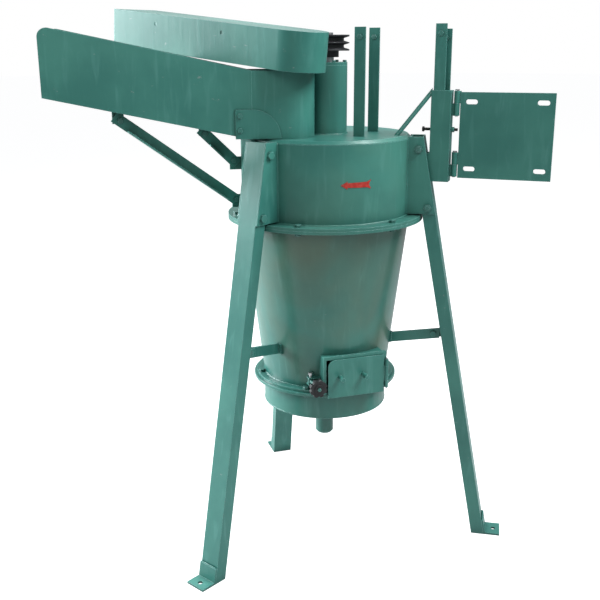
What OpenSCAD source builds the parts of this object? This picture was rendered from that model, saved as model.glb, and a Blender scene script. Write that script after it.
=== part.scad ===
// Vertical-shaft hammer mill on three legs.
// Origin: on the floor, straight below the drum axis. +Z up, the hatch side towards -Y,
// the motor plate towards +X. All sizes in millimetres.

/* [Drum] */
// Outer radius of the grinding drum
drum_r = 240; // [210:1:290]
// Wall of the drum
drum_wall = 6; // [4:1:8]
// Height of the drum rim above the floor
rim_z = 1192; // [1150:1:1300]
// Height of the drum, from its joint with the cone to the rim
drum_h = 219; // [200:1:270]
// Width of the joint flanges outside the drum
flange_lip = 40; // [36:1:50]
// Thickness of every flange ring
flange_t = 8; // [6:1:10]
// Thickness of the top plate
top_t = 10; // [8:1:14]
// Thickness of the wear liner
liner_t = 9; // [6:1:12]
// Thickness of the screen
screen_t = 3; // [2:0.5:5]

/* [Cone and base] */
// Outer radius of the base and of the cone's lower end
base_r = 183; // [150:1:200]
// Wall of the cone and of the base
sheet = 3; // [2:0.5:4]
// Height of the cone with its flanges
cone_h = 481; // [400:1:580]
// Height of the base
base_h = 86; // [60:1:110]
// Width of the lower flange rings outside the base
low_lip = 30; // [24:1:40]
// Outer radius of the outlet pipe
outlet_r = 27; // [20:0.5:35]
// Length of the outlet pipe below the base
outlet_len = 120; // [60:1:160]

/* [Legs] */
// Direction of the leg beside the motor column, in degrees from +X
leg_az = 7.5; // [0:0.5:12]
// Width of the leg tube, across
leg_w = 64; // [50:1:76]
// Depth of the leg tube, towards the drum
leg_d = 36; // [30:1:38]
// Wall of the leg tube
leg_wall = 3; // [2:0.5:4]
// Gap between the legs and the joint flanges, and between the legs' tops and the drum
leg_clear = 2.4; // [1:0.1:6]
leg_gap = 3.25; // [1:0.25:8]
// Length of a foot plate outside the leg
foot_len = 48; // [44:1:70]
// Thickness of foot plates
foot_t = 6; // [4:1:10]
// Radius of the floor bolt holes
foot_hole_r = 7; // [5:0.5:8]
// Thickness of the leg brackets
bracket_t = 5; // [4:1:8]
// Height of the struts above the lower joint, at the leg
strut_up = 138; // [100:1:240]
// How much lower the cone end of a strut is
strut_drop = 22; // [0:1:30]
// Height of the flat bar of a strut
strut_h = 30; // [24:1:40]

/* [Feed] */
// Direction of the feed chute, in degrees from +X
chute_az = 207; // [202:1:210]
// Outer width of the chute and of the inlet housing
chute_w = 170; // [150:1:174]
// Sideways shift of the chute from the drum axis
chute_off = 73.5; // [70:0.5:78]
// Height of the chute walls
chute_h = 176; // [140:1:190]
// Length of the chute outside the inlet housing
chute_len = 530; // [400:5:640]
// Upward slope of the chute, in degrees
chute_slope = 12; // [8:0.5:16]
// Sheet of chute and inlet housing
feed_sheet = 3; // [2:0.5:4]
// Gap between the inlet housing and the bearing housing
inlet_gap = 2.6; // [1:0.1:6]

/* [Bearing and rotor] */
// Wall of the bearing housing, outside the bearings
housing_wall = 15; // [13:0.5:20]
// Height of the bearing housing with its cap
housing_h = 193; // [170:1:210]
// Bearing bore, outside and width
bearing_d = 40; // [35:5:45]
bearing_od = 90; // [80:1:92]
bearing_b = 23; // [18:1:25]
// Outer radius of the belt pulley
pulley_r = 65; // [55:1:70]
// Width of the belt pulley
pulley_w = 42; // [36:1:50]
// Thickness of the rotor discs
disc_t = 8; // [6:1:12]
// Distance of the hammer pins from the axis
pin_pcd_r = 138; // [130:1:140]
// Radius of the hammer pins
pin_r = 8; // [6:0.5:10]
// Gap between the hammer tips and the wear liner
tip_gap = 13; // [6:1:20]
// Width of a hammer
hammer_w = 40; // [30:1:46]
// Thickness of a hammer
hammer_t = 6; // [4:1:8]

/* [Drive side] */
// Width and depth of the motor column
column_w = 54; // [50:1:60]
column_d = 38; // [34:1:46]
// How far the motor column reaches below and above the drum rim
column_down = 117; // [90:1:130]
column_up = 129; // [115:1:160]
// How deep the column's foot is notched over the leg, and the column's sideways shift
column_bite = 7; // [1:0.5:9]
column_y = 38; // [34:1:44]
// Width, height and thickness of the motor plate
plate_w = 249; // [230:1:300]
plate_h = 231; // [220:1:280]
plate_t = 8; // [6:1:10]
// Distances between the motor slots, across and upright
slot_dx = 188; // [150:1:198]
slot_dz = 180; // [140:1:190]
// Length and half width of a motor slot
slot_len = 32; // [20:1:36]
slot_r = 6.5; // [5:0.5:8]
// Radius of the hinge pins and of the barrels
hinge_pin_r = 4; // [3:0.5:5]
barrel_r = 8; // [7:0.5:9]
// Radius of the belt tension bolt
tension_r = 4; // [3:0.5:6]

/* [Belt guard] */
// Half width of the belt guard
guard_r = 80; // [80:1:84]
// Length from the centre of the guard's round end to its open end
guard_len = 614; // [500:1:740]
// Height of the belt guard
guard_h = 100; // [90:1:110]
// Sheet of the belt guard
guard_sheet = 2; // [1.5:0.5:3]
// Width and thickness of the guard posts
post_w = 30; // [24:1:36]
post_t = 6; // [5:1:8]
// Distance of the drum's posts from the axis, along the belts
post_x = 119; // [112:1:124]
// Height of the drum's posts above the top plate
post_h = 284; // [265:1:345]

/* [Hatch] */
// Direction in which the hatch faces, in degrees from +X
hatch_az = -52; // [-60:1:-44]
// Width and height of the hatch door
door_w = 168; // [140:1:176]
door_h = 112; // [90:1:136]
// Gap between the hatch mouth and the widest lower flange
mouth_gap = 5; // [4:1:12]
// Radius of the star knob
knob_r = 25; // [20:1:26]
// Radius of the clamp bolt
clamp_r = 5; // [4:0.5:6]

/* [Hidden] */
$fn = 96;

teal = [0.28, 0.52, 0.47];
eps = 0.5;                                   // overlap of a cutting shape past the face it cuts
gap = 0.3;                                   // clearance between parts that move apart
fit = 0.06;                                  // radial clearance of a running fit

joint_z = rim_z - drum_h;
low_z = joint_z - cone_h;
base_z = low_z - base_h;
flange_r = drum_r + flange_lip;
flange_top = joint_z + flange_t;
plate_top = rim_z + top_t;
leg_azs = [leg_az, leg_az + 120, leg_az + 240];
leg_slope = (flange_lip + leg_clear - leg_gap) / (drum_h - flange_t);
leg_dh = leg_d * sqrt(1 + leg_slope * leg_slope);       // leg depth measured level
leg_top = rim_z + 6;
cone_top_r = drum_r;
cone_z0 = low_z + flange_t;
cone_z1 = joint_z - flange_t;
low_r1 = base_r + low_lip - 8;               // upper lower-joint ring is the smaller one
low_r0 = base_r + low_lip;
bolt_r = 5;                                  // M10 flange bolts
flange_bolt_n = 6;                           // a multiple of three keeps the bolts between the legs
flange_bolt_az = leg_az + 24.5;
low_bolt_n = 5;
leg_bolt_r = 6;
leg_bolt_z = [rim_z - 27, joint_z + 30];
strut_t = 6;
strut_lap = 40;
strut_z = low_z + strut_up;

function leg_out(z) = flange_r + leg_clear + leg_dh + leg_slope * (flange_top - z);
function leg_in(z) = leg_out(z) - leg_dh;
function cone_r(z) = base_r + (cone_top_r - base_r) * (z - cone_z0) / (cone_z1 - cone_z0);
function polar(r, a, z) = [r * cos(a), r * sin(a), z];
foot_r = leg_out(0);

shaft_r = bearing_d / 2;
bore_r = bearing_od / 2;
housing_r = bore_r + housing_wall;
inlet_c = sqrt(pow(chute_w / 2 + housing_r + inlet_gap, 2) - chute_off * chute_off);
seam_t = max(drum_r - 21, inlet_c + chute_w / 2 + 6);   // where chute and inlet housing meet
cap_t = 8;
housing_top = plate_top + housing_h;
bearing_z = [plate_top + 8, housing_top - cap_t - 4 - bearing_b];
sleeve_h = 13;
hub_h = 17;
pulley_z = housing_top + sleeve_h + hub_h;
rotor_z = joint_z + 39;
cover_gap = 36;                              // clear height between rotor and lower bearing cap
rotor_gap = (rim_z - cap_t - cover_gap - rotor_z - 3 * disc_t) / 2;
disc_r = pin_pcd_r + pin_r + 9;
hammer_len = drum_r - drum_wall - liner_t - tip_gap - pin_pcd_r;
hammer_z = [for (i = [0, 1], j = [0, 1])
    rotor_z + disc_t + i * (rotor_gap + disc_t) + rotor_gap * (j == 0 ? 0.25 : 0.75) - hammer_t / 2];
rotor_top = rotor_z + 3 * disc_t + 2 * rotor_gap;
hub_r = 40;

column_z0 = rim_z - column_down;
column_z1 = rim_z + column_up;
column_x = leg_out(column_z0) - column_bite + column_w / 2;
column_right = column_x + column_w / 2;
hinge_x = column_right + barrel_r + 5;
plate_x0 = hinge_x + barrel_r + 2;
plate_z0 = column_z1 - 4 - plate_h;
knuckle_h = 33;
knuckle_top = [column_z1 - 1, plate_z0 + 2 * knuckle_h + 3];  // top of each hinge
tension_z = (knuckle_top[0] - 2 * knuckle_h + knuckle_top[1]) / 2 + 12;
post_y = guard_r - guard_sheet - 2 - post_t / 2;
post_top = plate_top + post_h;
post_down = 25;                              // bolts below the post tops
column_posts = [[-1, -6, 8], [1, 2, -5]];    // side of the column, shift, height over the drum's posts
guard_tilt = atan(0.4973 * tan(chute_slope));
guard_hole_up = guard_h - 26;
guard_hole_s = [192, 441];

door_y0 = -door_w / 2 + 14;
door_y1 = door_y0 + door_w;
door_t = 4;
door_z0 = cone_z0 - 12;
door_z1 = door_z0 + door_h;
mouth_t = 4;
mouth_x = base_r + low_lip + mouth_gap;
door_x = mouth_x + gap;
door_hinge_y = door_y1 + 8;
door_barrel_r = 5;
door_hinge_x = mouth_x + door_barrel_r + 2 * gap;
tunnel_y = [door_y0 - 8, door_y1 + 4];
tunnel_z1 = door_z1 + 4;
clamp_x = base_r - 13;
clamp_z = cone_z0 + 28;
knob_y = door_y0 - knob_r - 9;               // knob stands clear of the door's free edge
knob_at = mouth_x + 6;
pipe_wall = 3;

// ---- shared shapes ----

module ring(r_out, r_in, h) {
    difference() {
        cylinder(r = r_out, h = h);
        translate([0, 0, -eps]) cylinder(r = r_in, h = h + 2 * eps);
    }
}

module hex_bolt(r, length, head = 0.65) {    // head below z = 0, shank up
    translate([0, 0, -2 * r * head]) cylinder(r = 1.8 * r, h = 2 * r * head, $fn = 6);
    cylinder(r = r, h = length);
}

module bolt_and_nut(r, length) {             // head below z = 0, nut above z = length
    hex_bolt(r, length + 1.7 * r);
    translate([0, 0, length]) cylinder(r = 1.8 * r, h = 1.6 * r, $fn = 6);
}

module at_leg(i) { rotate([0, 0, leg_azs[i]]) children(); }

module radial_plate(points, thick) {         // outline in (distance, height), centred across
    rotate([90, 0, 0]) linear_extrude(thick, center = true) polygon(points);
}

module cone_body(grow = 0) {                 // solid of the cone's outer surface
    rotate_extrude() polygon([
        [0, cone_z0], [cone_r(cone_z0) + grow, cone_z0],
        [cone_r(cone_z1) + grow, cone_z1], [0, cone_z1]
    ]);
}

module in_chute() { rotate([0, 0, chute_az]) children(); }

module in_hatch() { rotate([0, 0, hatch_az]) children(); }

function heading(a, b) = atan2(b[1] - a[1], b[0] - a[0]);
function rise(a, b) = asin((b[2] - a[2]) / norm(b - a));

module bar_between(a, b, wide, thick) {      // bar from point a to point b, wide side upright
    translate(a) rotate([0, -rise(a, b), heading(a, b)])
        translate([0, -thick / 2, -wide / 2]) cube([norm(b - a), thick, wide]);
}

// ---- drum ----

module drum_shell() {
    color(teal) translate([0, 0, flange_top]) ring(drum_r, drum_r - drum_wall, rim_z - flange_top);
    color(teal) brace_lug(brace_long_low, brace_long_up);
    color(teal) brace_lug(brace_short_low, brace_short_up);
}

module brace_lug(low, up) {                  // plate on the drum wall for a chute brace
    difference() {
        translate(low) rotate([0, 0, heading(low, up)])
            translate([-24, -brace_t / 2 - lug_t, -10]) cube([50, lug_t, 36]);
        translate([0, 0, joint_z]) cylinder(r = drum_r, h = rim_z);
        brace_hole(low, up, lug_in);
    }
}

module drum_flange() {
    color(teal) difference() {
        translate([0, 0, joint_z]) ring(flange_r, drum_r - drum_wall, flange_t);
        bolt_circle(flange_bolt_n, (flange_r + drum_r) / 2, flange_bolt_az) flange_hole(joint_z);
    }
}

module flange_hole(z) { translate([0, 0, z - eps]) cylinder(r = bolt_r + gap, h = flange_t + 2 * eps); }

module bolt_circle(n, r, turn) {
    for (i = [0:n - 1]) rotate([0, 0, turn + i * 360 / n]) translate([r, 0, 0]) children();
}

module low_bolts() {                         // lower flange bolts, none under the hatch
    for (i = [0:low_bolt_n - 1]) rotate([0, 0, hatch_az - 36 - i * 240 / (low_bolt_n - 1)])
        translate([base_r + 11, 0, 0]) children();
}

module top_plate() {
    color(teal) difference() {
        rotate_extrude() polygon([
            [0, rim_z], [drum_r, rim_z], [drum_r, rim_z + 2], [drum_r - 8, plate_top], [0, plate_top]
        ]);
        translate([0, 0, rim_z - eps]) cylinder(r = bore_r, h = top_t + 2 * eps);
        intersection() {
            in_chute() translate([0, 0, rim_z - eps]) linear_extrude(top_t + 2 * eps)
                inlet_outline(feed_sheet + 5, -floor_strip - 4);
            translate([0, 0, rim_z - eps]) cylinder(r = drum_r - drum_wall - liner_t - 5, h = top_t + 2 * eps);
        }
    }
}

module wear_liner() {
    color("dimgray") translate([0, 0, joint_z + screen_t + gap])
        ring(drum_r - drum_wall, drum_r - drum_wall - liner_t, rim_z - joint_z - screen_t - gap);
}

module screen() {
    hole_r = 7;
    color("silver") difference() {
        translate([0, 0, joint_z]) cylinder(r = drum_r - drum_wall - gap, h = screen_t);
        for (k = [1:5]) bolt_circle(6 * k, k * 38, 0)
            translate([0, 0, joint_z - eps]) cylinder(r = hole_r, h = screen_t + 2 * eps, $fn = 24);
    }
}

// ---- cone and base ----

module cone_flange() {
    color(teal) difference() {
        translate([0, 0, cone_z1]) ring(flange_r, drum_r - drum_wall - 12, flange_t);
        bolt_circle(flange_bolt_n, (flange_r + drum_r) / 2, flange_bolt_az) flange_hole(cone_z1);
    }
}

module cone_shell() {
    color(teal) difference() {
        cone_body();
        translate([0, 0, -eps]) rotate_extrude() polygon([
            [0, cone_z0], [cone_r(cone_z0) - sheet, cone_z0],
            [cone_r(cone_z1) - sheet, cone_z1 + 2 * eps], [0, cone_z1 + 2 * eps]
        ]);
        in_hatch() translate([base_r / 2, tunnel_y[0] + mouth_t + 10, cone_z0 + 8])
            cube([base_r, tunnel_y[1] - tunnel_y[0] - 2 * mouth_t - 20, tunnel_z1 - cone_z0 - mouth_t - 16]);
    }
}

module cone_bottom_flange() {
    color(teal) difference() {
        translate([0, 0, low_z]) ring(low_r1, base_r - sheet, flange_t);
        low_bolts() flange_hole(low_z);
    }
}

module base_flange() {
    color(teal) difference() {
        translate([0, 0, low_z - flange_t]) ring(low_r0, base_r - sheet, flange_t);
        low_bolts() flange_hole(low_z - flange_t);
    }
}

module base_cylinder() {
    color(teal) translate([0, 0, base_z + sheet])
        ring(base_r, base_r - sheet, low_z - flange_t - base_z - sheet);
}

module bottom_plate() {
    color(teal) translate([0, 0, base_z]) ring(base_r, outlet_r - pipe_wall, sheet);
}

module outlet_pipe() {                       // butts against the bottom plate
    color(teal) rotate_extrude() polygon([
        [outlet_r - pipe_wall, base_z], [outlet_r, base_z],
        [outlet_r, base_z - outlet_len + 6], [outlet_r - 5, base_z - outlet_len],
        [outlet_r - pipe_wall - 5, base_z - outlet_len], [outlet_r - pipe_wall, base_z - outlet_len + 5]
    ]);
}

module flange_bolts() {
    color("gray") {
        bolt_circle(flange_bolt_n, (flange_r + drum_r) / 2, flange_bolt_az) translate([0, 0, cone_z1 + 2 * flange_t])
            rotate([180, 0, 0]) bolt_and_nut(bolt_r, 2 * flange_t);
        low_bolts() translate([0, 0, low_z + flange_t])
            rotate([180, 0, 0]) bolt_and_nut(bolt_r, 2 * flange_t);
    }
}

// ---- legs ----

module leg(i) {
    inner = leg_dh - leg_wall;
    color(teal) difference() {
        at_leg(i) difference() {
            radial_plate([
                [leg_in(0), 0], [leg_out(0), 0], [leg_out(leg_top), leg_top], [leg_in(leg_top), leg_top]
            ], leg_w);
            radial_plate([
                [leg_in(-9) + leg_wall, -9], [leg_in(-9) + inner, -9],
                [leg_in(rim_z + 9) + inner, rim_z + 9], [leg_in(rim_z + 9) + leg_wall, rim_z + 9]
            ], leg_w - 2 * leg_wall);
        }
        leg_bolt_holes(i, leg_bolt_r + gap);
    }
}

module leg_bolt_holes(i, r) {
    for (z = leg_bolt_z) at_leg(i) translate([leg_in(z) + leg_dh / 2, 0, z]) rotate([90, 0, 0])
        cylinder(r = r, h = leg_w + 8 * bracket_t, center = true);
}

module foot_plates() {
    up = 46;
    color(teal) for (i = [0:2]) at_leg(i) difference() {
        radial_plate([
            [foot_r, 0], [foot_r + foot_len, 0], [foot_r + foot_len, foot_t],
            [leg_out(foot_t) + foot_t, foot_t], [leg_out(up) + foot_t, up], [leg_out(up), up]
        ], leg_w);
        translate([foot_r + foot_len - 20, 0, -eps]) cylinder(r = foot_hole_r, h = foot_t + 2 * eps);
    }
}

module bracket(i) {
    low = flange_top + 4;
    color(teal) difference() {
        at_leg(i) for (s = [-1, 1]) translate([0, s * (leg_w + bracket_t) / 2, 0])
            radial_plate([
                [drum_r - 20, low], [leg_out(low), low], [leg_out(leg_top), leg_top], [drum_r - 20, leg_top]
            ], bracket_t);
        translate([0, 0, low - eps]) cylinder(r = drum_r, h = rim_z);
        leg_bolt_holes(i, leg_bolt_r + gap);
    }
}

module leg_bolts() {
    span = leg_w + 2 * bracket_t;
    color("gray") for (i = [0:2], z = leg_bolt_z)
        at_leg(i) translate([leg_in(z) + leg_dh / 2, span / 2, z]) rotate([90, 0, 0])
            bolt_and_nut(leg_bolt_r, span);
}

module strut(i) {                            // sloping flat bar, lapped and bolted on a leg tab
    x0 = cone_r(strut_z - strut_drop) - 20;
    x1 = leg_in(strut_z - strut_h / 2) - 8;
    color(teal) difference() {
        at_leg(i) {
            translate([0, -strut_t / 2, 0]) radial_plate(strut_side(x0, x1, strut_h), strut_t);
            radial_plate(strut_side(x0, x0 + 26, strut_h), 3 * strut_t);
        }
        cone_body();
        strut_hole(i, x1);
    }
    color(teal) difference() {
        at_leg(i) translate([0, strut_t / 2, 0])
            radial_plate(strut_side(x1 - strut_lap, x1 + 40, strut_h - 4), strut_t);
        strut_hole(i, x1);
        at_leg(i) radial_plate([
            [leg_in(0), 0], [leg_out(0) + 99, 0], [leg_out(rim_z) + 99, rim_z], [leg_in(rim_z), rim_z]
        ], leg_w);
    }
}

function strut_mid(x) = strut_z - strut_drop * (leg_in(strut_z) - x) / (leg_in(strut_z) - cone_r(strut_z));

function strut_side(x0, x1, h) = [
    [x0, strut_mid(x0) - h / 2], [x1, strut_mid(x1) - h / 2], [x1, strut_mid(x1) + h / 2], [x0, strut_mid(x0) + h / 2]
];

module strut_hole(i, x1) {
    at_leg(i) translate([x1 - 18, 0, strut_mid(x1 - 18)]) rotate([90, 0, 0])
        cylinder(r = bolt_r + gap, h = 60, center = true);
}

module strut_bolts() {
    x = leg_in(strut_z - strut_h / 2) - 26;
    color("gray") for (i = [0:2]) at_leg(i) translate([x, -strut_t, strut_mid(x)]) rotate([-90, 0, 0])
            bolt_and_nut(bolt_r, 2 * strut_t);
}

// ---- feed ----

module inlet_outline(inset, past) {          // U-shaped outline, open end at the seam
    half = chute_w / 2 - inset;
    translate([inlet_c, chute_off]) circle(r = half);
    translate([inlet_c, chute_off - half]) square([seam_t - inlet_c + past, 2 * half]);
}

floor_strip = 36;                            // strip over the drum's edge

module inlet_housing() {
    color(teal) in_chute() {
        translate([0, 0, plate_top]) linear_extrude(chute_h) difference() {
            inlet_outline(0, 0);
            inlet_outline(feed_sheet, eps);
        }
        translate([seam_t - floor_strip, chute_off - chute_w / 2 + feed_sheet, plate_top])
            cube([floor_strip, chute_w - 2 * feed_sheet, feed_sheet]);
    }
}

module inlet_ears() {                        // quarter-round plates that carry the chute
    ear_r = 76;
    ear_t = 4;
    color(teal) in_chute() for (s = [-1, 1]) difference() {
        translate([0, chute_off + s * (chute_w + ear_t) / 2, 0]) rotate([90, 0, 0])
            linear_extrude(ear_t, center = true) intersection() {
                union() {
                    translate([seam_t, plate_top + 2]) circle(r = ear_r);
                    translate([seam_t, plate_top + 2]) square([44, ear_r]);
                }
                translate([seam_t - ear_r, plate_top + 2]) square([ear_r + 44, ear_r]);
            }
        ear_holes();
    }
}

module ear_holes() {
    for (z = ear_bolt_z) translate([seam_t + 32, chute_off, plate_top + z]) rotate([90, 0, 0])
        cylinder(r = 4 + gap, h = chute_w + 30, center = true);
}
ear_bolt_z = [24, 62];

function chute_floor(t) = plate_top + (t - seam_t) * tan(chute_slope);
corner_r = 28;

module chute_wall() {                        // outline in (distance, height), round outer top corner
    t1 = seam_t + chute_len;
    tc = t1 - corner_r;
    polygon(concat(
        [[seam_t, plate_top], [t1, chute_floor(t1)]],
        [for (a = [0:10:90]) [tc + corner_r * cos(a),
            chute_floor(t1) + chute_h - corner_r * (1 - sin(a)) - (a / 90) * corner_r * tan(chute_slope)]],
        [[seam_t, plate_top + chute_h]]
    ));
}

module feed_chute() {
    t1 = seam_t + chute_len;
    floor_t = feed_sheet / cos(chute_slope);
    color(teal) in_chute() difference() {
        union() {
            for (s = [-1, 1]) translate([0, chute_off + s * (chute_w - feed_sheet) / 2, 0])
                rotate([90, 0, 0]) linear_extrude(feed_sheet, center = true) chute_wall();
            translate([0, chute_off, 0]) radial_plate([
                [seam_t, plate_top], [t1, chute_floor(t1)],
                [t1, chute_floor(t1) + floor_t], [seam_t, plate_top + floor_t]
            ], chute_w);
        }
        ear_holes();
    }
    color(teal) brace_tab(brace_long_up, brace_long_low);
    color(teal) brace_tab(brace_short_up, brace_short_low);
}

module chute_bolts() {
    span = chute_w + 8;
    color("gray") {
        in_chute() for (z = ear_bolt_z, s = [-1, 1])
            translate([seam_t + 32, chute_off + s * span / 2, plate_top + z]) rotate([s * 90, 0, 0])
                bolt_and_nut(4, 4 + feed_sheet);
        brace_bolt(brace_long_low, brace_long_up, lug_in);
        brace_bolt(brace_short_low, brace_short_up, lug_in);
        brace_bolt(brace_long_up, brace_long_low, tab_in);
        brace_bolt(brace_short_up, brace_short_low, tab_in);
    }
}

// Braces under the chute: angle bars between a lug on the drum and a tab on the chute floor.
brace_w = 30;
brace_t = 4;
lug_t = 5;
lug_in = 22;
tab_in = 18;
function chute_point(t, n, z) = [t * cos(chute_az) - n * sin(chute_az), t * sin(chute_az) + n * cos(chute_az), z];
long_t = seam_t + chute_len - 174;
short_t = seam_t + 133;
brace_long_up = chute_point(long_t, chute_off + 58, chute_floor(long_t) - 13);
brace_long_low = polar(drum_r + 6, chute_az + 8, flange_top + 32);
brace_short_up = chute_point(short_t, chute_off - 78, chute_floor(short_t) - 13);
brace_short_low = polar(drum_r + 6, chute_az - 3, rim_z - 80);

module brace_hole(from, to, inset) {
    translate(from + inset * (to - from) / norm(to - from)) rotate([0, 0, heading(from, to)])
        rotate([90, 0, 0]) cylinder(r = 4 + gap, h = 40, center = true);
}

module brace_bolt(from, to, inset) {
    side = sign(inset - (lug_in + tab_in) / 2);      // lugs and tabs stand on the same side
    translate(from + inset * (to - from) / norm(to - from)) rotate([0, 0, heading(from, to)])
        translate([0, side * brace_t / 2, 0]) rotate([side * 90, 0, 0])
            bolt_and_nut(4, brace_t + lug_t);
}

module brace_tab(up, low) {                  // plate under the chute floor
    difference() {
        translate(up) rotate([0, 0, heading(up, low)])
            translate([-4, brace_t / 2, -19]) cube([30, lug_t, 60]);
        brace_hole(up, low, tab_in);
        in_chute() translate([0, chute_off, 0]) radial_plate([
            [0, chute_floor(0)], [999, chute_floor(999)], [999, 1999], [0, 1999]
        ], 3 * chute_w);
    }
}

module brace(low, up) {
    dir = (up - low) / norm(up - low);
    color(teal) difference() {
        union() {
            bar_between(low + 8 * dir, up, brace_w, brace_t);
            difference() {                   // level leg of the angle, stopped short of lug and tab
                translate(low) rotate([0, -rise(low, up), heading(low, up)])
                    translate([48, -brace_t / 2, -brace_w / 2]) cube([norm(up - low) - 96, brace_w, brace_t]);
            }
        }
        brace_hole(low, up, lug_in);
        brace_hole(up, low, tab_in);
        translate([0, 0, joint_z]) cylinder(r = drum_r + gap, h = rim_z);
        in_chute() translate([0, chute_off, 0]) radial_plate([
            [0, chute_floor(0) - gap], [999, chute_floor(999) - gap], [999, 1999], [0, 1999]
        ], 3 * chute_w);
    }
}

module chute_brace_long() { brace(brace_long_low, brace_long_up); }
module chute_brace_short() { brace(brace_short_low, brace_short_up); }

// ---- bearing housing ----

module bearing_housing() {
    color(teal) difference() {
        translate([0, 0, plate_top]) cylinder(r = housing_r, h = housing_h - cap_t);
        translate([0, 0, plate_top - eps]) cylinder(r = bore_r - 4, h = housing_h);
        translate([0, 0, plate_top - eps]) cylinder(r = bore_r, h = bearing_z[0] + bearing_b - plate_top + eps);
        translate([0, 0, bearing_z[1]]) cylinder(r = bore_r, h = housing_h);
        cap_screws(3.05, 18);
    }
}

module cap_screws(r, depth) {
    bolt_circle(6, (housing_r + bore_r) / 2, 12) translate([0, 0, housing_top - cap_t - depth])
        cylinder(r = r, h = depth + cap_t + eps);
}

module top_bearing_cap() {
    color(teal) difference() {
        union() {
            translate([0, 0, housing_top - cap_t]) cylinder(r = housing_r, h = cap_t);
            translate([0, 0, bearing_z[1] + bearing_b]) ring(bore_r, bore_r - 6, 5);
        }
        translate([0, 0, housing_top - 2 * cap_t]) cylinder(r = shaft_r + 1, h = 3 * cap_t);
        cap_screws(3.4, 0);
    }
}

module bottom_bearing_cap() {
    color(teal) difference() {
        union() {
            translate([0, 0, rim_z - cap_t]) cylinder(r = bore_r + 14, h = cap_t);
            translate([0, 0, rim_z - eps]) ring(bore_r, bore_r - 6, bearing_z[0] - rim_z + eps);
        }
        translate([0, 0, rim_z - 2 * cap_t]) cylinder(r = shaft_r + 1, h = 4 * cap_t);
    }
}

module cap_bolts() {
    color("gray") bolt_circle(6, (housing_r + bore_r) / 2, 12) translate([0, 0, housing_top])
        rotate([180, 0, 0]) hex_bolt(3, cap_t + 14, 0.9);
}

module bearing_outer_rings() {
    color("silver") for (z = bearing_z) translate([0, 0, z]) ring(bore_r, bore_r - 6.5, bearing_b);
}

module bearing_inner_sets() {
    ball_r = (bore_r - 6.5 - shaft_r - 6.5) / 2 - 0.2;
    ball_at = shaft_r + 6.5 + ball_r + 0.2;
    color("silver") for (z = bearing_z) translate([0, 0, z]) {
        ring(shaft_r + 6.5, shaft_r, bearing_b);
        bolt_circle(8, ball_at, 0) translate([0, 0, bearing_b / 2]) sphere(r = ball_r, $fn = 32);
        difference() {                       // cage holds the balls to the inner ring
            translate([0, 0, bearing_b / 2 - 2]) ring(ball_at + 2, shaft_r + 6.4, 4);
            bolt_circle(8, ball_at, 0) translate([0, 0, bearing_b / 2]) sphere(r = ball_r - 0.3, $fn = 32);
        }
    }
}

// ---- rotor ----

module shaft() {
    lower = bearing_z[0] + bearing_b;
    color("silver") {
        translate([0, 0, rotor_z - 12]) cylinder(r = shaft_r, h = pulley_z + pulley_w + 6 - rotor_z + 12);
        translate([0, 0, lower]) cylinder(r = shaft_r + 4, h = bearing_z[1] - lower);
        translate([0, 0, housing_top + 1]) cylinder(r = shaft_r + 2.5, h = sleeve_h - 1);
        translate([0, 0, rotor_z - 18]) cylinder(r = shaft_r + 8, h = 8);
        translate([0, 0, rotor_z - 28]) cylinder(r = 11, h = 10, $fn = 6);
    }
}

module pulley() {                            // hub below, two V grooves
    rim = 4.2;
    groove_w = (pulley_w - 2 * rim - 2.6) / 2;
    deep = 15;
    color([0.07, 0.07, 0.08]) translate([0, 0, pulley_z - hub_h]) difference() {
        union() {
            cylinder(r = 36, h = hub_h + 1);
            translate([0, 0, hub_h]) cylinder(r = pulley_r, h = pulley_w);
        }
        translate([0, 0, -eps]) cylinder(r = shaft_r, h = pulley_w + hub_h + 2 * eps);
        for (i = [0, 1]) translate([0, 0, hub_h + rim + i * (groove_w + 2.6)]) rotate_extrude()
            polygon([[pulley_r + 1, -0.4], [pulley_r + 1, groove_w + 0.4], [pulley_r - deep, groove_w / 2 + 3.4],
                [pulley_r - deep, groove_w / 2 - 3.4]]);
    }
}

module rotor_hub() {
    color("dimgray") translate([0, 0, rotor_z - 10]) ring(hub_r, shaft_r, rotor_top - rotor_z + 20);
}

module rotor_discs() {
    color("dimgray") for (k = [0:2]) translate([0, 0, rotor_z + k * (disc_t + rotor_gap)]) difference() {
        ring(disc_r, hub_r, disc_t);
        bolt_circle(4, pin_pcd_r, 0) translate([0, 0, -eps]) cylinder(r = pin_r, h = disc_t + 2 * eps);
    }
}

module hammer_pins() {                       // each pin carries its spacer sleeves
    color("silver") bolt_circle(4, pin_pcd_r, 0) {
        translate([0, 0, rotor_z - 4]) cylinder(r = pin_r, h = rotor_top - rotor_z + 4);
        translate([0, 0, rotor_top]) cylinder(r = pin_r + 4, h = 4);
        for (k = [0, 1]) difference() {
            translate([0, 0, rotor_z + disc_t + k * (rotor_gap + disc_t)]) cylinder(r = pin_r + 5, h = rotor_gap);
            for (z = hammer_z) translate([0, 0, z - gap]) ring(pin_r + 9, pin_r, hammer_t + 2 * gap);
        }
    }
}

module hammer_stack(k) {
    color("gray") rotate([0, 0, 90 * k]) translate([pin_pcd_r, 0, 0]) for (z = hammer_z) translate([0, 0, z])
        difference() {
            union() {
                cylinder(r = hammer_w / 2, h = hammer_t);
                translate([0, -hammer_w / 2, 0]) cube([hammer_len, hammer_w, hammer_t]);
            }
            translate([0, 0, -eps]) cylinder(r = pin_r + fit, h = hammer_t + 2 * eps);
        }
}

// ---- drive side ----

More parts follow.
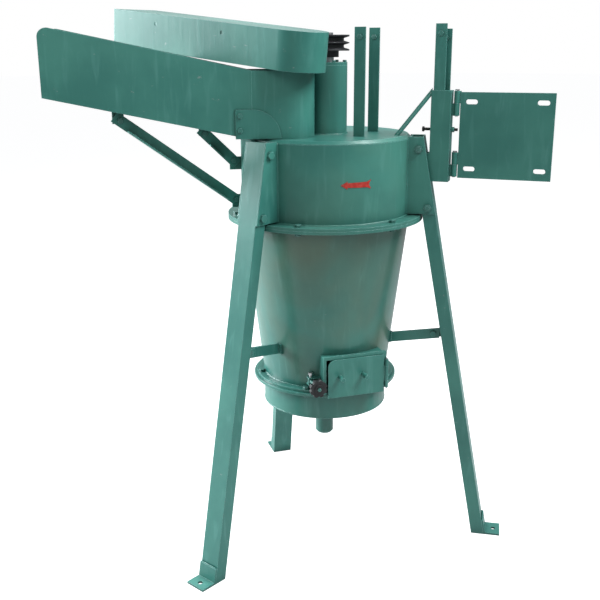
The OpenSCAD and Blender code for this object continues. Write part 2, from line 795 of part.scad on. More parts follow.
module guard_posts() {
    color(teal) difference() {
        union() {
            for (s = [-1, 1]) translate([post_x - post_w / 2, s * post_y - post_t / 2, plate_top])
                cube([post_w, post_t, post_h]);
            for (p = column_posts) translate([column_x + p[1] - post_w / 2,
                column_y + p[0] * (column_d - post_t) / 2 - post_t / 2, column_z1])
                cube([post_w, post_t, post_top + p[2] - column_z1]);
        }
        translate([post_x, 0, post_top - post_down]) rotate([90, 0, 0])
            cylinder(r = 4 + gap, h = 300, center = true);
        for (p = column_posts)
            translate([column_x + p[1], column_y + p[0] * column_d / 2, post_top + p[2] - post_down])
                rotate([90, 0, 0]) cylinder(r = 4 + gap, h = 2 * post_t + 2, center = true);
    }
}

module post_bolts() {
    color("gray") {
        translate([post_x, -post_y - post_t / 2, post_top - post_down]) rotate([-90, 0, 0]) bolt_and_nut(4, post_t);
        translate([post_x, post_y + post_t / 2, post_top - post_down]) rotate([90, 0, 0]) bolt_and_nut(4, post_t);
        for (p = column_posts)
            translate([column_x + p[1], column_y + p[0] * column_d / 2, post_top + p[2] - post_down])
                rotate([p[0] * 90, 0, 0]) bolt_and_nut(4, post_t);
    }
}

module motor_column() {
    wall = 4;
    cheek_top = column_z0 + 77;
    color(teal) difference() {
        union() {
            difference() {
                translate([column_x - column_w / 2, column_y - column_d / 2, column_z0])
                    cube([column_w, column_d, column_z1 - column_z0]);
                translate([column_x - column_w / 2 + wall, column_y - column_d / 2 + wall, column_z0 - eps])
                    cube([column_w - 2 * wall, column_d - 2 * wall, column_z1 - column_z0 - 5]);
                before_leg();
            }
            for (s = [-1, 1]) difference() { // cheeks that weld the column to the leg
                translate([drum_r, column_y + s * (column_d / 2 - 2) - 2, column_z0])
                    cube([column_x - drum_r, 4, cheek_top - column_z0]);
                before_leg();
            }
            for (top = knuckle_top) fixed_knuckle(top - 2 * knuckle_h);
            translate([column_right, column_y, tension_z]) rotate([0, 90, 0])
                cylinder(r = 1.8 * tension_r, h = 9, $fn = 6);
        }
        translate([column_x - column_w, column_y, tension_z]) rotate([0, 90, 0])
            cylinder(r = tension_r + fit, h = 2 * column_w);
        for (top = knuckle_top) translate([hinge_x, column_y, top - 2 * knuckle_h - eps])
            cylinder(r = hinge_pin_r, h = knuckle_h + 1);
    }
}

module before_leg() {                        // everything inside the outer face of the right leg
    at_leg(0) radial_plate([[0, 0], [leg_out(0), 0], [leg_out(leg_top), leg_top], [0, leg_top]], 3 * leg_w);
}

module fixed_knuckle(z) {
    translate([hinge_x, column_y, z]) cylinder(r = barrel_r, h = knuckle_h - gap);
    translate([column_right - 1, column_y - 4, z]) cube([hinge_x - column_right, 8, knuckle_h - gap]);
}

module column_brace() {                      // round rod from the column's head to the top plate
    rod_r = 6;
    head = [column_x - column_w / 2 - 1, column_y - column_d / 2 + 9, column_z1 - 5];
    foot_at = [drum_r - 27, -14, plate_top + 4];
    color(teal) difference() {
        translate(foot_at) rotate([0, 90 - rise(foot_at, head), heading(foot_at, head)])
            translate([0, 0, -12]) rotate([0, 0, 50]) cylinder(r = rod_r, h = norm(head - foot_at) + 24);
        translate([0, 0, plate_top - 50]) cylinder(r = 2 * drum_r, h = 50);
        translate([column_x - column_w / 2, column_y - 2 * column_d, column_z0])
            cube([column_w, 4 * column_d, column_z1 - column_z0 + 90]);
    }
}

module hinge_pins() {
    color("silver") {
        for (top = knuckle_top) translate([hinge_x, column_y, top - 2 * knuckle_h - 2]) {
            cylinder(r = hinge_pin_r, h = 2 * knuckle_h + 4);
            translate([0, 0, 2 * knuckle_h + 3]) cylinder(r = hinge_pin_r + 2, h = 3);
        }
        in_hatch() translate([door_hinge_x, door_hinge_y, door_z0 + 10]) cylinder(r = 2.5, h = door_h - 20);
        in_hatch() translate([clamp_x, knob_y, clamp_z]) {
            translate([0, 0, -14]) cylinder(r = 4, h = 38);
            translate([0, 0, 17]) cylinder(r = 7, h = 7, $fn = 6);
        }
    }
}

module motor_plate() {
    color(teal) difference() {
        union() {
            translate([plate_x0, column_y - plate_t / 2, plate_z0]) cube([plate_w, plate_t, plate_h]);
            for (top = knuckle_top) {
                translate([hinge_x, column_y, top - knuckle_h]) cylinder(r = barrel_r, h = knuckle_h);
                translate([hinge_x, column_y - 3, top - knuckle_h]) cube([plate_x0 - hinge_x + 1, 6, knuckle_h]);
            }
        }
        for (top = knuckle_top) translate([hinge_x, column_y, top - knuckle_h - eps])
            cylinder(r = hinge_pin_r + fit, h = knuckle_h + 2 * eps);
        for (i = [-1, 1], j = [-1, 1])
            translate([plate_x0 + plate_w / 2 + i * slot_dx / 2, column_y, plate_z0 + plate_h / 2 + j * slot_dz / 2])
                motor_slot();
    }
}

module motor_slot() {
    run = slot_len - 2 * slot_r;
    rotate([90, 0, 0]) {
        for (s = [-1, 1]) translate([s * run / 2, 0, 0]) cylinder(r = slot_r, h = 2 * plate_t, center = true);
        cube([run, 2 * slot_r, 2 * plate_t], center = true);
    }
}

module tension_bolt() {
    x0 = column_x - column_w / 2 - 20;
    color([0.09, 0.09, 0.1]) translate([x0, column_y, tension_z]) rotate([0, 90, 0])
        hex_bolt(tension_r, hinge_x + 5 - x0);
}

// ---- belt guard, laid on the inlet housing ----

guard_end = polar(174.4, -99.3, plate_top + chute_h + 1.3);   // centre of its round end, on the underside
guard_az = 161.8;

module belt_guard() {
    color(teal) translate(guard_end) rotate([0, 0, guard_az]) rotate([0, -guard_tilt, 0]) difference() {
        linear_extrude(guard_h) difference() { guard_outline(0, 0); guard_outline(guard_sheet, 9); }
        for (s = guard_hole_s) translate([s, 0, guard_hole_up]) rotate([90, 0, 0])
            cylinder(r = 4.5, h = 3 * guard_r, center = true);
    }
    color(teal) translate(guard_end) rotate([0, 0, guard_az]) rotate([0, -guard_tilt, 0])
        translate([0, 0, guard_h - guard_sheet]) linear_extrude(guard_sheet) guard_outline(guard_sheet, 0);
}

module guard_outline(inset, past) {
    circle(r = guard_r - inset);
    translate([0, inset - guard_r]) square([guard_len + past, 2 * (guard_r - inset)]);
}

// ---- hatch ----

module door_frame() {
    y0 = tunnel_y[0];
    y1 = tunnel_y[1];
    inner_w = y1 - y0 - 2 * mouth_t;
    color(teal) in_hatch() difference() {
        union() {
            difference() {                   // tunnel from the cone to the mouth
                translate([base_r / 2, y0, cone_z0]) cube([mouth_x - base_r / 2, y1 - y0, tunnel_z1 - cone_z0]);
                translate([base_r / 2 - 9, y0 + mouth_t, cone_z0 + mouth_t])
                    cube([mouth_x, inner_w, tunnel_z1 - cone_z0 - 2 * mouth_t]);
                rotate([0, 0, -hatch_az]) cone_body();
            }
            difference() {                   // flange round the mouth
                translate([mouth_x - mouth_t, y0 - 4, cone_z0]) cube([mouth_t, y1 - y0 + 8, tunnel_z1 + 6 - cone_z0]);
                translate([mouth_x - 9, y0 + mouth_t, cone_z0 + mouth_t])
                    cube([30, inner_w, tunnel_z1 - cone_z0 - 2 * mouth_t]);
            }
            for (z = [clamp_z - 11, clamp_z + 7]) difference() { // ears of the clamp bolt
                translate([clamp_x - 9, knob_y - 9, z]) cube([18, y0 - knob_y + 10, 4]);
                rotate([0, 0, -hatch_az]) cone_body();
            }
            for (z = [door_z0 + 14, door_z1 - 34]) { // fixed knuckles of the door hinge
                translate([door_hinge_x, door_hinge_y, z]) cylinder(r = door_barrel_r, h = 20 - gap);
                translate([mouth_x - 4, door_hinge_y - 3, z]) cube([door_hinge_x - mouth_x + 4, 6, 20 - gap]);
                translate([mouth_x - 4, door_y1, z]) cube([4, 11, 20 - gap]);
            }
        }
        translate([door_hinge_x, door_hinge_y, door_z0]) cylinder(r = 2.5, h = door_h);
        translate([clamp_x, knob_y, clamp_z - 20]) cylinder(r = 4, h = 40);
    }
}

module hatch_door() {
    stud_z = door_z0 + 62;
    color(teal) in_hatch() difference() {
        union() {
            door_sheet();
            for (y = [-36, 34]) translate([door_x, y, stud_z]) rotate([0, 90, 0]) cylinder(r = 6, h = 34);
            translate([door_hinge_x, door_hinge_y, door_z0 + 34]) cylinder(r = door_barrel_r, h = door_h - 68 - gap);
            translate([door_x, door_y1 - 3, door_z0 + 34]) cube([door_t, 11, door_h - 68 - gap]);
        }
        translate([door_hinge_x, door_hinge_y, door_z0]) cylinder(r = 2.5 + fit, h = door_h);
    }
}

module door_sheet() {                        // one upper corner is rounded
    corner = 20;
    translate([door_x, 0, 0]) rotate([90, 0, 90]) linear_extrude(door_t) difference() {
        translate([door_y0, door_z0]) square([door_w, door_h]);
        difference() {
            translate([door_y0 - 1, door_z1 - corner]) square(corner + 1);
            translate([door_y0 + corner, door_z1 - corner]) circle(r = corner);
        }
    }
}

module clamp_bolt() {                        // eye bolt that swings on a vertical pin
    color("gray") in_hatch() translate([clamp_x, knob_y, clamp_z]) difference() {
        union() {
            translate([0, 0, -6]) cylinder(r = 8.5, h = 12);
            rotate([0, 90, 0]) cylinder(r = clamp_r, h = knob_at + 24 - clamp_x);
        }
        cylinder(r = 4 + fit, h = 40, center = true);
    }
}

module star_knob() {
    lobes = 8;
    color([0.06, 0.06, 0.07]) in_hatch() translate([knob_at, knob_y, clamp_z]) rotate([0, 90, 0]) difference() {
        union() {
            cylinder(r = knob_r * 0.5, h = 20);
            translate([0, 0, 4]) difference() {
                cylinder(r = knob_r, h = 13);
                bolt_circle(lobes, knob_r + 2.5, 0) translate([0, 0, -1]) cylinder(r = 6, h = 15);
            }
        }
        translate([0, 0, -1]) cylinder(r = clamp_r + fit, h = 24);
    }
}

// ---- running-direction arrow, a thin curved plate on the drum ----

module rotation_arrow() {
    arrow_z = (flange_top + rim_z) / 2 + 1;
    color("firebrick") intersection() {
        translate([0, 0, arrow_z - 30]) ring(drum_r + 1, drum_r, 60);
        rotate([0, 0, -52]) translate([drum_r, 0, arrow_z]) rotate([90, 0, 90]) linear_extrude(40, center = true)
            polygon([[-43, 0], [-25, 10.5], [-27, 6], [30, 7.5], [42, 13], [35, 1], [42, -11], [30, -7],
                [-27, -6], [-25, -10.5]]);
    }
}

drum_shell();
drum_flange();
top_plate();
wear_liner();
screen();
cone_flange();
cone_shell();
cone_bottom_flange();
base_flange();
base_cylinder();
bottom_plate();
outlet_pipe();
flange_bolts();
leg(0);  // leg_right
leg(1);  // leg_rear
leg(2);  // leg_left
foot_plates();
bracket(0);  // bracket_right
bracket(1);  // bracket_rear
bracket(2);  // bracket_left
leg_bolts();
strut(0);  // strut_right
strut(1);  // strut_rear
strut(2);  // strut_left
strut_bolts();
inlet_housing();
inlet_ears();
feed_chute();
chute_bolts();
chute_brace_long();
chute_brace_short();
bearing_housing();
top_bearing_cap();
bottom_bearing_cap();
cap_bolts();
bearing_outer_rings();
guard_posts();
post_bolts();
motor_column();
column_brace();
hinge_pins();
door_frame();
rotation_arrow();
shaft();
pulley();
bearing_inner_sets();
rotor_hub();
rotor_discs();
hammer_pins();
hammer_stack(0);  // hammer_stack_1
hammer_stack(1);  // hammer_stack_2
hammer_stack(2);  // hammer_stack_3
hammer_stack(3);  // hammer_stack_4
motor_plate();
tension_bolt();
belt_guard();
hatch_door();
clamp_bolt();
star_knob();
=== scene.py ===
import bpy
import numpy as np
from mathutils import Euler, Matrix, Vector


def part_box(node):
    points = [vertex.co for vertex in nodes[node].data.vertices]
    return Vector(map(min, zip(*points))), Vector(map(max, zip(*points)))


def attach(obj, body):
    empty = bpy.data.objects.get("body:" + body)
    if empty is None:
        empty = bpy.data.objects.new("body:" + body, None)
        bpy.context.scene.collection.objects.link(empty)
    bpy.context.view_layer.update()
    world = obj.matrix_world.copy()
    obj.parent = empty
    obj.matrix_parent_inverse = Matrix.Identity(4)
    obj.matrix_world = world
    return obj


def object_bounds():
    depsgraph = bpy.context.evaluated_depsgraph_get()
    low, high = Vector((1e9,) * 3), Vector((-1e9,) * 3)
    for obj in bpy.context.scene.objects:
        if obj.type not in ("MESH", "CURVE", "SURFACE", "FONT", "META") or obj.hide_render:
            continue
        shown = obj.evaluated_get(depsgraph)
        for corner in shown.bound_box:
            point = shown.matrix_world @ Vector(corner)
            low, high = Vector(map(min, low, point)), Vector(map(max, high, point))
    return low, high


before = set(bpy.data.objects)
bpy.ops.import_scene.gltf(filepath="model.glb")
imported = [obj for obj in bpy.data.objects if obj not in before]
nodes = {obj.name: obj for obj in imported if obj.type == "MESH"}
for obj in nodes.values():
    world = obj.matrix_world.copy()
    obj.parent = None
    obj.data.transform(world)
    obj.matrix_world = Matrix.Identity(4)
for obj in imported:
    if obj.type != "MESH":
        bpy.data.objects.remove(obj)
cadBounds = [[float(v) for v in corner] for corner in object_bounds()]
print("frame loaded:", len(nodes), "nodes")

# ---- camera and light ----

camera = {"place": (0.7787, -2.3967, 1.441), "heading": 109.69, "pitch": -16.2, "roll": -0.27,
          "lens": 52.7, "sensor": 36.0}


def turn(degrees):
    return float(np.radians(degrees))


def addCamera(c):
    data = bpy.data.cameras.new("camera")
    data.lens, data.sensor_width = c["lens"], c["sensor"]
    item = bpy.data.objects.new("camera", data)
    bpy.context.scene.collection.objects.link(item)
    aim = Euler((0, 0, turn(c["heading"] - 90))).to_matrix()
    tilt = Euler((turn(90 + c["pitch"]), 0, 0)).to_matrix()
    item.matrix_world = (aim @ tilt @ Euler((0, 0, turn(c["roll"]))).to_matrix()).to_4x4()
    item.location = c["place"]
    bpy.context.scene.camera = item


def direction(azimuth, elevation):
    a, e = turn(azimuth), turn(elevation)
    return Vector((np.cos(a) * np.cos(e), np.sin(a) * np.cos(e), np.sin(e)))


lights = {  # azimuth and elevation from the middle of the mill, distance, side of the square lamp, watts
    "key": {"azimuth": -177, "elevation": 20, "distance": 5.0, "side": 2.4, "watts": 600,
            "colour": (0.90, 0.97, 1.0)},
    "front": {"azimuth": -80, "elevation": 34, "distance": 4.2, "side": 1.6, "watts": 34,
              "colour": (1.0, 0.97, 0.90)},
    "rim": {"azimuth": 120, "elevation": 50, "distance": 4.0, "side": 2.0, "watts": 60,
            "colour": (1.0, 1.0, 1.0)},
    "top": {"azimuth": 0, "elevation": 52, "distance": 3.8, "side": 2.0, "watts": 190,
            "colour": (0.93, 0.98, 1.0)},
}


def addLights(table):
    low, high = [Vector(corner) for corner in cadBounds]
    middle = (low + high) / 2
    for name, lamp in table.items():
        data = bpy.data.lights.new(name, "AREA")
        data.shape, data.size, data.energy = "SQUARE", lamp["side"], lamp["watts"]
        data.color = lamp["colour"]
        item = bpy.data.objects.new(name, data)
        bpy.context.scene.collection.objects.link(item)
        away = direction(lamp["azimuth"], lamp["elevation"])
        item.location = middle + away * lamp["distance"]
        item.rotation_euler = away.to_track_quat("Z", "Y").to_euler()


addCamera(camera)
addLights(lights)
bpy.context.scene.view_settings.view_transform = "Standard"
print("camera and lights placed")

# ---- shader helpers ----


class Wire:  # an output socket that can be used in sums
    def __init__(self, tree, socket):
        self.tree, self.socket = tree, socket

    def maths(self, operation, first, second):
        node = self.tree.nodes.new("ShaderNodeMath")
        node.operation = operation
        for place, item in zip(node.inputs, (first, second)):
            if isinstance(item, Wire):
                self.tree.links.new(item.socket, place)
            else:
                place.default_value = item
        return Wire(self.tree, node.outputs[0])

    def __add__(self, other): return self.maths("ADD", self, other)
    def __radd__(self, other): return self.maths("ADD", other, self)
    def __sub__(self, other): return self.maths("SUBTRACT", self, other)
    def __rsub__(self, other): return self.maths("SUBTRACT", other, self)
    def __mul__(self, other): return self.maths("MULTIPLY", self, other)
    def __rmul__(self, other): return self.maths("MULTIPLY", other, self)


class Finish:  # one material and the nodes in it
    def __init__(self, name):
        self.material = bpy.data.materials.new(name)
        self.material.use_nodes = True
        self.tree = self.material.node_tree
        self.tree.nodes.clear()

    def node(self, kind, settings=None, sockets=None, out=0):
        node = self.tree.nodes.new("ShaderNode" + kind)
        for key, value in (settings or {}).items():
            if key == "stops":
                ramp = node.color_ramp
                while len(ramp.elements) < len(value):
                    ramp.elements.new(0.5)
                for element, (place, shade) in zip(ramp.elements, value):
                    element.position, element.color = place, (*shade, 1) if len(shade) == 3 else shade
            else:
                setattr(node, key, value)
        for key, value in (sockets or {}).items():
            if isinstance(value, Wire):
                self.tree.links.new(value.socket, node.inputs[key])
            else:
                node.inputs[key].default_value = value
        return Wire(self.tree, node.outputs[out]) if len(node.outputs) else None

    def place(self):
        return self.node("TexCoord", out=3)

    def noise(self, scale, detail=3.0, rough=0.5, stretch=(1, 1, 1), distort=0.0):
        spot = self.node("Mapping", {}, {"Vector": self.place(), "Scale": stretch})
        return self.node("TexNoise", {}, {"Vector": spot, "Scale": scale, "Detail": detail,
                                          "Roughness": rough, "Distortion": distort})

    def step(self, value, low, high):  # 0 below low, 1 above high, smooth between
        return self.node("MapRange", {"interpolation_type": "SMOOTHSTEP"},
                         {"Value": value, "From Min": low, "From Max": high})

    def mix(self, factor, first, second):
        return self.node("Mix", {"data_type": "RGBA"}, {0: factor, 6: first, 7: second}, out=2)

    def surface(self, **sockets):
        shader = self.node("BsdfPrincipled", {}, sockets)
        self.node("OutputMaterial", {}, {"Surface": shader})
        return self.material


def shade(r, g, b):
    return (r, g, b, 1.0)


# ---- finishes ----

# edge is a painted highlight colour for edges; corner is a painted shade colour for inner corners
paint = {"green": shade(0.046, 0.205, 0.168), "deep": shade(0.030, 0.160, 0.134),
         "pale": shade(0.120, 0.33, 0.295), "edge": shade(0.24, 0.52, 0.48), "corner": shade(0.010, 0.060, 0.050),
         "primer": shade(0.20, 0.21, 0.20), "steel": shade(0.34, 0.35, 0.35), "rough": 0.30}


def seaGreenPaint(name, tint=None, tintMix=0.0, rough=0.0, wear=0.0, brushed=0.0):
    # brushed-on gloss enamel: two greens in clouds, runs, patches of painted brown reflection on the drum and cone
    # and of a darker tone on the bolts, paler on upward faces, painted highlights on edges and painted shade in
    # inner corners
    f = Finish(name)
    clouds = f.noise(5.0, 4.0, 0.55)
    runs = f.noise(9.0, 3.0, 0.5, (6, 6, 0.8), 0.6)
    fine = f.noise(160.0, 2.0, 0.6)
    speck = f.noise(420.0, 1.0, 0.5)
    green = f.mix(f.step(clouds, 0.36, 0.66), paint["deep"], paint["green"])
    green = f.mix(f.step(runs, 0.52, 0.80) * 0.30, green, paint["pale"])
    # patches toward the tint: a painted brown reflection on the drum and cone, a darker tone of their own on the
    # bolts
    if tint:
        paintedReflectionAndTonePatches = f.step(f.noise(3.2, 3.0, 0.5, (1, 1, 0.7), 0.8), 0.34, 0.68)
        green = f.mix(paintedReflectionAndTonePatches * tintMix, green, tint)
    soft = f.node("Bevel", {"samples": 4}, {"Radius": 0.0016})
    flat = f.node("NewGeometry", out=1)
    edge = 1 - f.node("VectorMath", {"operation": "DOT_PRODUCT"}, {0: soft, 1: flat}, out=1)
    # painted highlight: edges lightened toward the edge colour; the same edge mask also places the paint chips
    paintedEdgeHighlightAndChipZone = f.step(edge, 0.01, 0.12)
    green = f.mix(paintedEdgeHighlightAndChipZone * 0.65, green, paint["edge"])
    chips = f.step(f.noise(70.0, 4.0, 0.7), 0.62 - wear * 0.06, 0.66 - wear * 0.06) * paintedEdgeHighlightAndChipZone
    scuffs = f.step(f.noise(26.0, 5.0, 0.72, (1, 1, 2.2), 0.4), 0.70 - wear * 0.05, 0.735 - wear * 0.05)
    green = f.mix(chips * 0.8, green, paint["primer"])
    green = f.mix(scuffs * (0.22 + wear * 0.25), green, paint["steel"])
    # lighter toward the pale colour on upward-facing faces, in clouds
    paleOnUpwardFaces = f.step(f.node("SeparateXYZ", {}, {0: flat}, out=2), 0.6, 1.0) * f.step(clouds, 0.30, 0.75)
    green = f.mix(paleOnUpwardFaces * 0.16, green, paint["pale"])
    # painted shade: darkened toward the corner colour where ambient occlusion finds inner corners and gaps
    corner = f.node("AmbientOcclusion", {"samples": 6}, {"Distance": 0.05}, out=1)
    green = f.mix(f.step(corner, 0.85, 0.25) * 0.75, green, paint["corner"])
    roughness = paint["rough"] + rough + clouds * 0.10 + scuffs * 0.22 + fine * 0.06 - runs * 0.05
    height = clouds * 0.5 + runs * (0.55 + brushed) + fine * 0.10 + speck * 0.03 - chips * 0.25
    bump = f.node("Bump", {}, {"Strength": 0.20, "Distance": 0.0022, "Height": height, "Normal": soft})
    return f.surface(**{"Base Color": green, "Roughness": roughness, "Normal": bump, "Metallic": 0.0,
                        "Coat Weight": 0.20, "Coat Roughness": 0.18, "Specular IOR Level": 0.45})


def steelFinish(name, colour, rough, turned=0.0, dirt=0.5):
    # bare steel: fine turning lines across the axis, grey clouds, brown film in places
    f = Finish(name)
    clouds = f.noise(22.0, 4.0, 0.6)
    lines = f.noise(40.0, 3.0, 0.6, (1, 1, 30))
    grey = f.mix(f.step(clouds, 0.35, 0.7), colour, shade(*[v * 0.72 for v in colour[:3]]))
    film = f.step(f.noise(48.0, 4.0, 0.65), 0.56, 0.70) * dirt
    grey = f.mix(film * 0.55, grey, shade(0.13, 0.085, 0.055))
    bump = f.node("Bump", {}, {"Strength": 0.25, "Distance": 0.0006, "Height": lines * turned + clouds * 0.3})
    return f.surface(**{"Base Color": grey, "Metallic": 1.0 - film * 0.6,
                        "Roughness": rough + lines * 0.14 + film * 0.25, "Normal": bump})


def blackFinish(name, colour, rough, grain, worn=0.0, metal=0.0):
    # black casting, oxide or moulding: pebbled surface, lighter worn edges
    f = Finish(name)
    pebbles = f.noise(grain, 3.0, 0.6)
    clouds = f.noise(18.0, 3.0, 0.5)
    soft = f.node("Bevel", {"samples": 4}, {"Radius": 0.0012})
    flat = f.node("NewGeometry", out=1)
    edge = 1 - f.node("VectorMath", {"operation": "DOT_PRODUCT"}, {0: soft, 1: flat}, out=1)
    rub = f.step(edge, 0.02, 0.15) * f.step(clouds, 0.35, 0.65)
    black = f.mix(f.step(clouds, 0.3, 0.75), colour, shade(*[v * 1.7 + 0.004 for v in colour[:3]]))
    black = f.mix(rub * worn, black, shade(0.22, 0.22, 0.22))
    bump = f.node("Bump", {}, {"Strength": 0.35, "Distance": 0.0005, "Height": pebbles, "Normal": soft})
    return f.surface(**{"Base Color": black, "Roughness": rough + pebbles * 0.14, "Normal": bump,
                        "Metallic": metal})


def redPaint(name):
    f = Finish(name)
    clouds = f.noise(60.0, 4.0, 0.6)
    red = f.mix(f.step(clouds, 0.35, 0.7), shade(0.36, 0.018, 0.012), shade(0.50, 0.045, 0.03))
    thin = f.step(f.noise(150.0, 4.0, 0.7), 0.60, 0.68)
    red = f.mix(thin * 0.4, red, paint["deep"])
    bump = f.node("Bump", {}, {"Strength": 0.3, "Distance": 0.0005, "Height": clouds})
    return f.surface(**{"Base Color": red, "Roughness": 0.32 + clouds * 0.2, "Normal": bump,
                        "Coat Weight": 0.2, "Coat Roughness": 0.2})


def paleFloor(name):
    f = Finish(name)
    grain = f.noise(2.0, 3.0, 0.5)
    tone = f.mix(grain, shade(0.43, 0.43, 0.43), shade(0.46, 0.46, 0.46))
    glow = f.mix(f.node("LightPath"), shade(0, 0, 0), shade(0.86, 0.86, 0.86))  # lit backdrop, seen directly only
    return f.surface(**{"Base Color": tone, "Roughness": 0.62 + grain * 0.1, "Emission Color": glow,
                        "Emission Strength": 1.0})


# brown is a painted reflection colour, used on the drum and cone
brown = shade(0.105, 0.130, 0.085)
finishes = {
    "drumPaint": seaGreenPaint("drumPaint", brown, 0.18),
    "conePaint": seaGreenPaint("conePaint", brown, 0.75, -0.04, 0.2),
    "sheetPaint": seaGreenPaint("sheetPaint", None, 0.0, 0.03, 0.7, 0.2),
    "framePaint": seaGreenPaint("framePaint", None, 0.0, 0.04, 0.5),
    "boltPaint": seaGreenPaint("boltPaint", shade(0.05, 0.11, 0.10), 0.6, 0.08, 1.0),
    "turnedSteel": steelFinish("turnedSteel", shade(0.62, 0.62, 0.63), 0.26, 1.0, 0.3),
    "wornSteel": steelFinish("wornSteel", shade(0.36, 0.36, 0.37), 0.38, 0.3, 0.9),
    "pulleyBlack": blackFinish("pulleyBlack", shade(0.012, 0.012, 0.014), 0.36, 260.0, 0.25),
    "knobBlack": blackFinish("knobBlack", shade(0.010, 0.010, 0.011), 0.42, 420.0, 0.12),
    "oxideBlack": blackFinish("oxideBlack", shade(0.018, 0.018, 0.02), 0.40, 500.0, 0.4, 0.6),
    "arrowRed": redPaint("arrowRed"),
}

nodeFinish = {
    "drumPaint": "drum_shell drum_flange top_plate bearing_housing top_bearing_cap bottom_bearing_cap base_flange "
                 "cone_flange cone_bottom_flange base_cylinder bottom_plate outlet_pipe",
    "conePaint": "cone_shell",
    "sheetPaint": "feed_chute inlet_housing inlet_ears belt_guard hatch_door door_frame",
    "framePaint": "leg_right leg_rear leg_left foot_plates bracket_right bracket_rear bracket_left strut_right "
                  "strut_rear strut_left chute_brace_long chute_brace_short guard_posts motor_column column_brace "
                  "motor_plate",
    "boltPaint": "flange_bolts leg_bolts strut_bolts chute_bolts cap_bolts post_bolts clamp_bolt",
    "turnedSteel": "shaft screen bearing_outer_rings bearing_inner_sets hammer_pins hinge_pins",
    "wornSteel": "wear_liner rotor_hub rotor_discs hammer_stack_1 hammer_stack_2 hammer_stack_3 hammer_stack_4",
    "pulleyBlack": "pulley",
    "knobBlack": "star_knob",
    "oxideBlack": "tension_bolt",
    "arrowRed": "rotation_arrow",
}


def dress(item, finish):
    item.data.materials.clear()
    item.data.materials.append(finishes[finish])


for finish, names in nodeFinish.items():
    for name in names.split():
        dress(nodes[name], finish)
print("finishes made:", len(finishes))

# ---- surfaces from grids ----


def gridFaces(rows, columns, closedRows, closedColumns):
    # quads that join a grid of points, row by row; a closed way joins its last line to its first
    r = np.arange(rows if closedRows else rows - 1)
    c = np.arange(columns if closedColumns else columns - 1)
    r, c = [g.ravel() for g in np.meshgrid(r, c, indexing="ij")]
    up, right = (r + 1) % rows, (c + 1) % columns
    return np.stack([r * columns + c, r * columns + right, up * columns + right, up * columns + c], 1)


def addPiece(name, points, faces, body, finish, slot="paint", smooth=True):
    mesh = bpy.data.meshes.new(name)
    mesh.from_pydata(np.asarray(points, float).tolist(), [], [list(map(int, f)) for f in faces])
    mesh.validate()
    mesh.polygons.foreach_set("use_smooth", [smooth] * len(mesh.polygons))
    item = bpy.data.objects.new(name, mesh)
    bpy.context.scene.collection.objects.link(item)
    dress(item, finish)
    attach(item, body)
    return item


def sweep(path, radius, closed, sides=8, ripple=0.22, pitch=0.0045, seed=1):
    # a bead along a path: at each point a ring of the given radius, swelling and shrinking
    # as |sin| of the distance run, with a little seeded unevenness
    path = np.asarray(path, float)
    ahead = np.roll(path, -1, 0) - np.roll(path, 1, 0) if closed else np.gradient(path, axis=0)
    ahead /= np.linalg.norm(ahead, axis=1)[:, None]
    guide = np.where(np.abs(ahead[:, 2:3]) > 0.9, [[1.0, 0, 0]], [[0, 0, 1.0]])
    side = np.cross(ahead, guide)
    side /= np.linalg.norm(side, axis=1)[:, None]
    lift = np.cross(side, ahead)
    run = np.concatenate([[0], np.cumsum(np.linalg.norm(np.diff(path, axis=0), axis=1))])
    rng = np.random.default_rng(seed)
    uneven = 1 + 0.10 * rng.standard_normal(len(path))
    size = radius * (1 - ripple + 2 * ripple * np.abs(np.sin(np.pi * run / pitch))) * uneven
    if not closed:
        size[[0, -1]] *= 0.35
    angle = np.linspace(0, 2 * np.pi, sides, endpoint=False)
    points = (path[:, None] + size[:, None, None] * (np.cos(angle)[None, :, None] * side[:, None]
              + np.sin(angle)[None, :, None] * lift[:, None])).reshape(-1, 3)
    faces = gridFaces(len(path), sides, closed, True).tolist()
    if not closed:
        faces.append(list(range(sides))[::-1])
        faces.append([(len(path) - 1) * sides + k for k in range(sides)])
    return points, faces


def polyline(corners, step):
    # points at an even step along straight runs between corners
    corners = [np.asarray(c, float) for c in corners]
    rows = []
    for a, b in zip(corners[:-1], corners[1:]):
        count = max(2, int(round(np.linalg.norm(b - a) / step)))
        rows.append(a + (b - a) * np.linspace(0, 1, count, endpoint=False)[:, None])
    rows.append(corners[-1][None])
    return np.concatenate(rows)


def ringPath(radius, height, step=0.0016):
    count = int(2 * np.pi * radius / step)
    a = np.linspace(0, 2 * np.pi, count, endpoint=False)
    return np.stack([radius * np.cos(a), radius * np.sin(a), np.full(count, height)], 1)


def spun(azimuth, points):
    # points given as distance, sideways and height, turned to an azimuth about the drum axis
    a = turn(azimuth)
    out, side, height = np.asarray(points, float).T
    return np.stack([out * np.cos(a) - side * np.sin(a), out * np.sin(a) + side * np.cos(a), height], 1)


# ---- weld beads ----

weld = {"step": 0.0014, "bracketSide": 0.0345 + 0.0025, "bracketSize": 0.0024, "topGap": 0.004,
        "footHalf": 0.030, "footSize": 0.0022, "footOut": 0.501 + 0.003, "legLean": 0.1855}
legs = {"right": 7.5, "rear": 127.5, "left": 247.5}


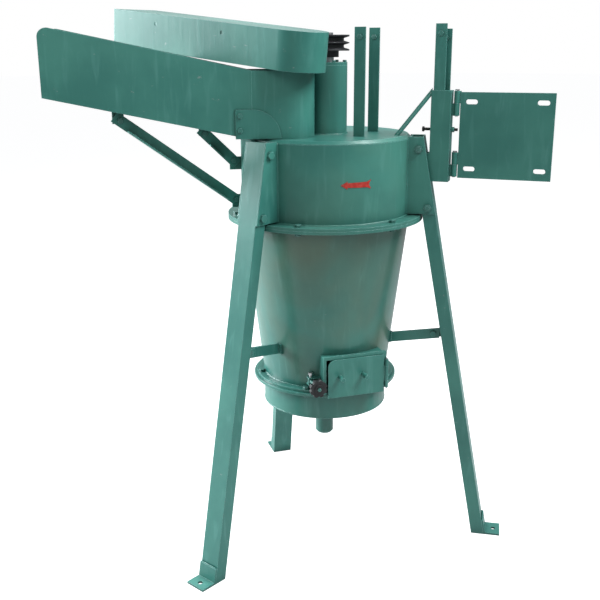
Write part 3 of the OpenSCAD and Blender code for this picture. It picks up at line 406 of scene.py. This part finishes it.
def addWelds():
    low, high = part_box("drum_shell")
    drumR, drumZ = high.y, low.z
    rings = {
        "weld_drum_flange": (drumR, drumZ, 0.0026),
        "weld_cone_top": (drumR - 0.0002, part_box("cone_flange")[0].z, 0.0024),
        "weld_cone_foot": (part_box("base_cylinder")[1].x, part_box("cone_bottom_flange")[1].z, 0.0024),
        "weld_base_foot": (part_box("base_cylinder")[1].x - 0.001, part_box("base_cylinder")[0].z, 0.0018),
        "weld_outlet": (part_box("outlet_pipe")[1].x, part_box("bottom_plate")[0].z, 0.0022),
        "weld_bearing_foot": (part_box("bearing_housing")[1].x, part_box("bearing_housing")[0].z, 0.0026),
    }
    for name, (radius, height, size) in rings.items():
        addPiece(name, *sweep(ringPath(radius, height), size, True), "frame", "drumPaint")
    side, foot = weld["bracketSide"], weld["footHalf"]
    reach = float(np.sqrt(drumR ** 2 - side ** 2))
    for leg, azimuth in legs.items():
        bottom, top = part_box("bracket_" + leg)[0].z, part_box("bracket_" + leg)[1].z
        for letter, y in (("a", -side), ("b", side)):
            line = polyline([(reach, y, bottom), (reach, y, top - weld["topGap"])], weld["step"])
            addPiece(f"weld_bracket_{leg}_{letter}", *sweep(spun(azimuth, line), weld["bracketSize"], False),
                     "frame", "framePaint")
        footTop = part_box("foot_plates")[1].z
        out = weld["footOut"] - weld["legLean"] * footTop
        line = polyline([(out, -foot, footTop), (out, foot, footTop)], weld["step"])
        addPiece(f"weld_foot_{leg}", *sweep(spun(azimuth, line), weld["footSize"], False), "frame", "framePaint")
    print("welds on drum and legs")


addWelds()
print("pieces ready")

# ---- floor ----


def addFloor(radius=45.0):
    angle = np.linspace(0, 2 * np.pi, 97)[:-1]
    points = np.stack([radius * np.cos(angle), radius * np.sin(angle), np.zeros(96)], 1)
    mesh = bpy.data.meshes.new("floor")
    mesh.from_pydata(points.tolist(), [], [list(range(96))])
    item = bpy.data.objects.new("floor", mesh)
    bpy.context.scene.collection.objects.link(item)
    mesh.materials.append(paleFloor("paleFloor"))


def addSky(strength=0.26):
    world = bpy.data.worlds.new("studio")
    bpy.context.scene.world = world
    world.use_nodes = True
    tree = world.node_tree
    tree.nodes.clear()
    back = tree.nodes.new("ShaderNodeBackground")
    seen = tree.nodes.new("ShaderNodeBackground")
    path = tree.nodes.new("ShaderNodeLightPath")
    both = tree.nodes.new("ShaderNodeMixShader")
    end = tree.nodes.new("ShaderNodeOutputWorld")
    back.inputs["Color"].default_value = (0.93, 0.96, 1.0, 1)
    back.inputs["Strength"].default_value = strength
    seen.inputs["Color"].default_value = (1, 1, 1, 1)
    seen.inputs["Strength"].default_value = 1.0
    tree.links.new(path.outputs["Is Camera Ray"], both.inputs[0])
    tree.links.new(back.outputs[0], both.inputs[1])
    tree.links.new(seen.outputs[0], both.inputs[2])
    tree.links.new(both.outputs[0], end.inputs["Surface"])


addFloor()
addSky()
print("floor and sky made")
